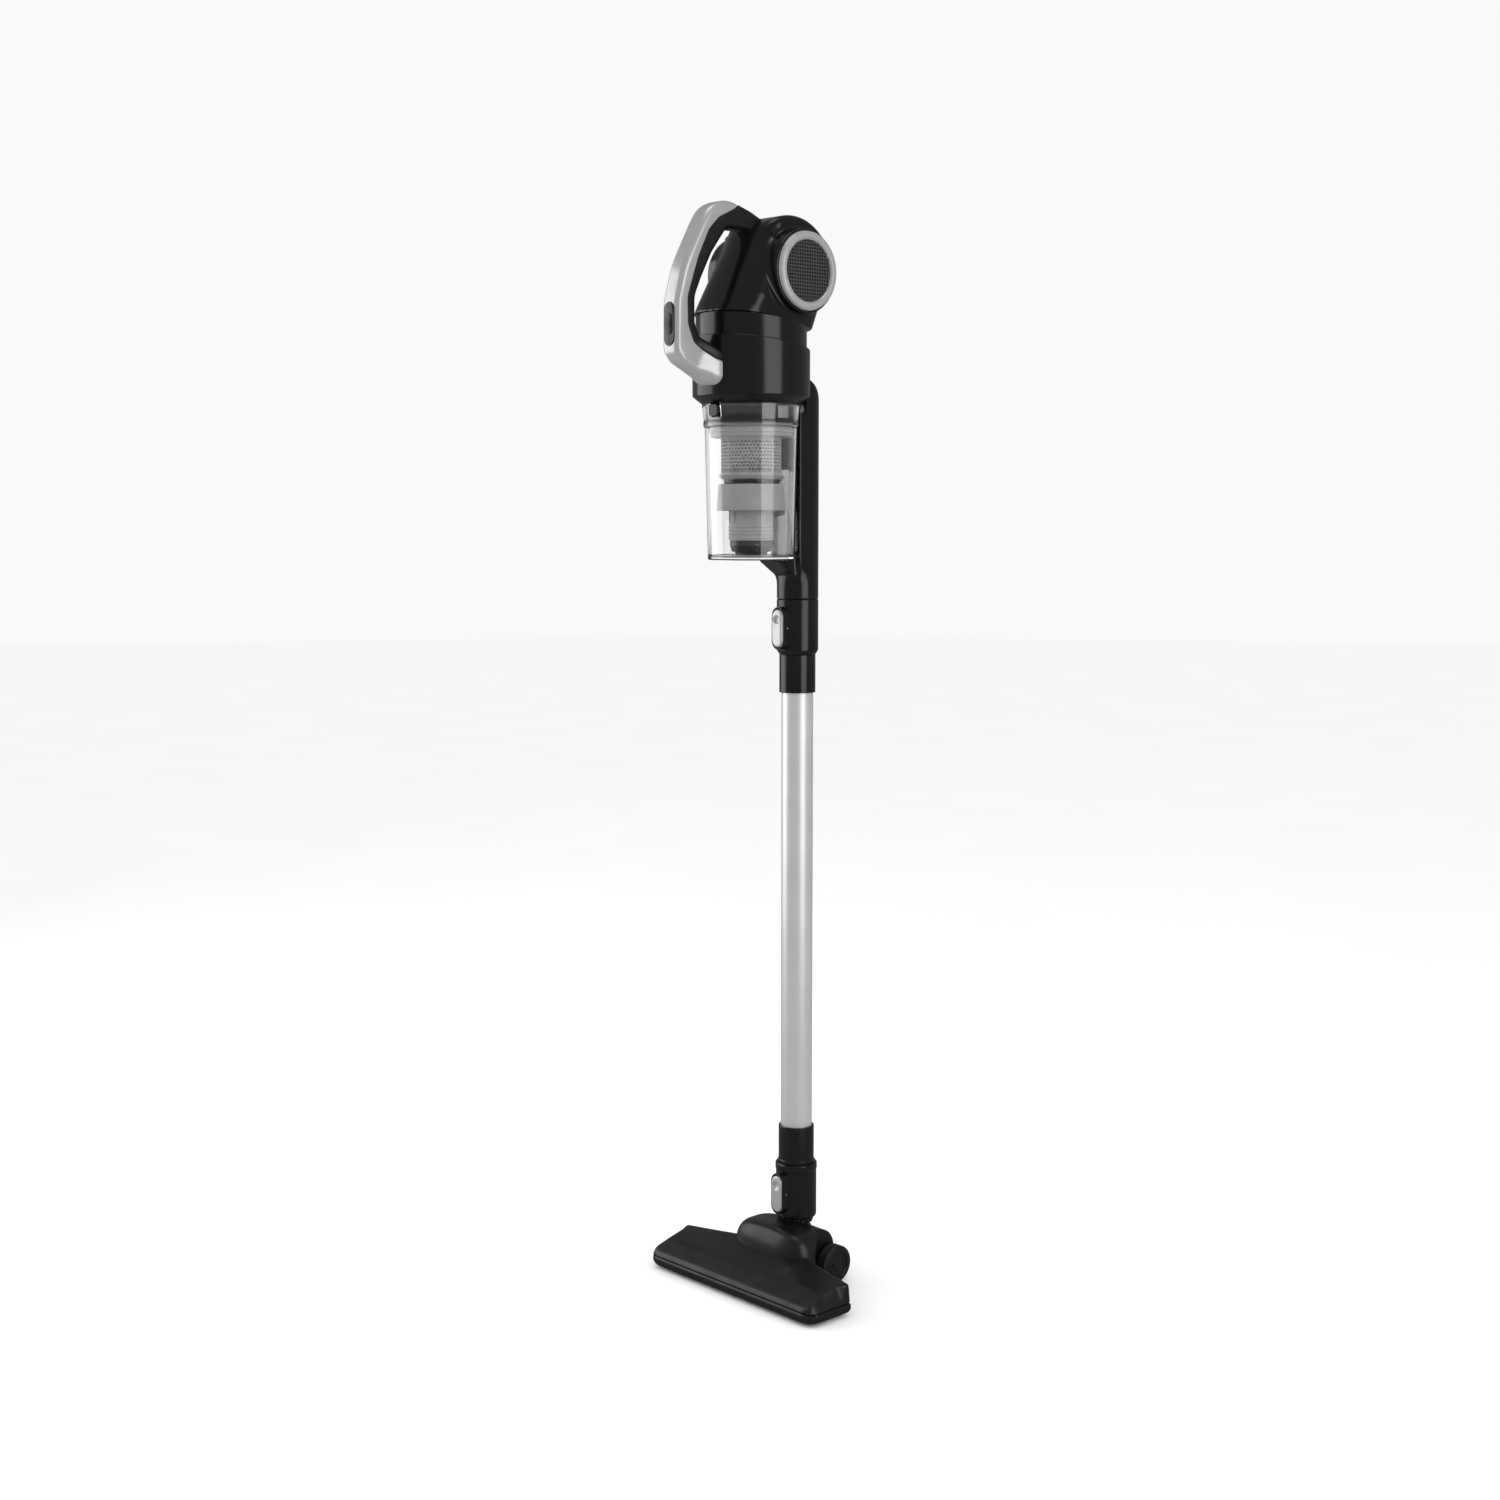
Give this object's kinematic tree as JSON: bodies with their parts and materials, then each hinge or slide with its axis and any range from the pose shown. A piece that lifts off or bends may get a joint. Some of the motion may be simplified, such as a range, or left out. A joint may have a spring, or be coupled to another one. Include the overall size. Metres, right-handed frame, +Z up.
{
  "type": "cordless stick vacuum",
  "caption": "Cordless stick vacuum with a passive floor head, tilting and twisting neck, aluminium wand, clear cyclone dust cup, leaning motor housing and loop handle.",
  "frame": {"origin": "on the floor, in the middle of the footprint", "axes": "+Z up along the wand, -Y towards the front edge of the floor head and the loop handle, X across the head"},
  "size_m": [0.236, 0.2014, 1.0812],
  "materials": {
    "abs_satin_black": "satin",
    "abs_gloss_black": "gloss",
    "abs_silver": "metallic paint",
    "clear_polycarbonate": "clear, moulded",
    "filter_grey": "satin",
    "grille_black": "satin",
    "aluminium_tube": "anodised, satin",
    "rubber_black": "matt",
    "tyre_rubber": "matt",
    "steel": "plain",
    "nylon_bristle": "matt",
    "foam_black": "open-cell foam",
    "paper_filter": "pleated paper",
    "cell_wrap": "shrink wrap",
    "circuit_board": "solder mask",
    "copper_steel": "laminated core and windings"
  },
  "bodies": {
    "floor_head": {"head_cover": "abs_satin_black", "head_base": "abs_satin_black", "head_screws": "steel", "head_bumper": "abs_satin_black", "head_dome": "abs_satin_black", "bristle_strips": "nylon_bristle", "wheel_axles": "steel"},
    "wheel_left": {"wheel_hub_left": "abs_satin_black", "wheel_tyre_left": "tyre_rubber"},
    "wheel_right": {"wheel_hub_right": "abs_satin_black", "wheel_tyre_right": "tyre_rubber"},
    "roller_left": {"front_roller_left": "abs_satin_black"},
    "roller_right": {"front_roller_right": "abs_satin_black"},
    "neck": {"neck_elbow": "abs_satin_black"},
    "neck_socket": {"lower_socket": "abs_gloss_black", "lower_latch_pin": "steel", "lower_latch_spring": "steel"},
    "lower_latch": {"lower_latch_button": "abs_silver"},
    "wand": {"wand_spigot": "abs_gloss_black", "wand_tube": "aluminium_tube", "wand_collar": "abs_gloss_black", "upper_socket": "abs_gloss_black", "upper_latch_pin": "steel", "upper_latch_spring": "steel"},
    "upper_latch": {"upper_latch_button": "abs_silver"},
    "dust_unit": {"spine_duct": "abs_gloss_black", "dust_cup": "clear_polycarbonate", "inlet_frame": "abs_gloss_black"},
    "flap": {"inlet_flap": "rubber_black"},
    "motor_unit": {"cup_ring": "abs_gloss_black", "cup_seal": "rubber_black", "plate_tabs": "filter_grey", "filter_plate": "filter_grey", "mesh_cage": "filter_grey", "cage_lip": "filter_grey", "cyclone_neck": "abs_gloss_black", "cyclone_skirt": "filter_grey", "cyclone_shroud": "filter_grey", "cyclone_cap": "abs_gloss_black", "pleated_filter": "paper_filter", "collar": "abs_gloss_black", "neck_band": "abs_gloss_black", "motor_housing": "abs_gloss_black", "vent_rings": "abs_silver", "vent_grilles": "grille_black", "exhaust_foams": "foam_black", "battery_holder": "abs_satin_black", "battery_cells": "cell_wrap", "motor_can": "steel", "fan_shroud": "abs_satin_black", "motor_stator": "copper_steel", "motor_mount": "rubber_black", "control_board": "circuit_board", "charge_socket": "abs_satin_black", "handle_shell": "abs_silver", "handle_grip": "rubber_black", "switch_bezel": "abs_gloss_black"},
    "cup_button": {"cup_release_button": "abs_gloss_black"},
    "switch": {"switch_slider": "abs_gloss_black"},
    "rotor": {"motor_rotor": "aluminium_tube"}
  },
  "joints": [
    {"name": "wheel_left_spin", "type": "hinge", "parent": "floor_head", "child": "wheel_left", "pos_m": [-0.0425, 0.08125, 0.0195], "axis": [1, 0, 0], "continuous": true},
    {"name": "wheel_right_spin", "type": "hinge", "parent": "floor_head", "child": "wheel_right", "pos_m": [0.0425, 0.08125, 0.0195], "axis": [1, 0, 0], "continuous": true},
    {"name": "roller_left_spin", "type": "hinge", "parent": "floor_head", "child": "roller_left", "pos_m": [-0.07, -0.01495, 0.006], "axis": [1, 0, 0], "continuous": true},
    {"name": "roller_right_spin", "type": "hinge", "parent": "floor_head", "child": "roller_right", "pos_m": [0.07, -0.01495, 0.006], "axis": [1, 0, 0], "continuous": true},
    {"name": "neck_tilt", "type": "hinge", "parent": "floor_head", "child": "neck", "pos_m": [0, 0.06875, 0.034], "axis": [-1, 0, 0], "range_deg": [0, 80]},
    {"name": "neck_twist", "type": "hinge", "parent": "neck", "child": "neck_socket", "pos_m": [0, 0.06875, 0.064], "axis": [0, 0, 1], "range_deg": [-90, 90]},
    {"name": "lower_latch_press", "type": "hinge", "parent": "neck_socket", "child": "lower_latch", "pos_m": [0, 0.04635, 0.0915], "axis": [-1, 0, 0], "range_deg": [0, 5], "stiffness_Nm_per_rad": 0.15, "springref_deg": -11.46, "deforming": ["lower_latch_spring"]},
    {"name": "wand_lift", "type": "slide", "parent": "neck_socket", "child": "wand", "axis": [0, 0, 1], "range_m": [0, 0.06]},
    {"name": "upper_latch_press", "type": "hinge", "parent": "wand", "child": "upper_latch", "pos_m": [0, 0.04635, 0.6715], "axis": [-1, 0, 0], "range_deg": [0, 5], "stiffness_Nm_per_rad": 0.15, "springref_deg": -11.46, "deforming": ["upper_latch_spring"]},
    {"name": "handheld_lift", "type": "slide", "parent": "wand", "child": "dust_unit", "axis": [0, 0, 1], "range_m": [0, 0.06]},
    {"name": "flap_swing", "type": "hinge", "parent": "dust_unit", "child": "flap", "pos_m": [0, 0.04415, 0.8576], "axis": [-1, 0, 0], "range_deg": [0, 14], "stiffness_Nm_per_rad": 0.005},
    {"name": "motor_unit_lift", "type": "slide", "parent": "dust_unit", "child": "motor_unit", "axis": [0, 0, 1], "range_m": [0, 0.16]},
    {"name": "cup_release_press", "type": "slide", "parent": "motor_unit", "child": "cup_button", "axis": [0, 1, 0], "range_m": [0, 0.003], "stiffness_N_per_m": 400, "springref_m": -0.002},
    {"name": "power_slide", "type": "slide", "parent": "motor_unit", "child": "switch", "axis": [0, 0, 1], "range_m": [-0.008, 0.008]},
    {"name": "rotor_spin", "type": "hinge", "parent": "motor_unit", "child": "rotor", "pos_m": [0, 0.00525, 0.936], "axis": [0, 0, 1], "continuous": true}
  ]
}
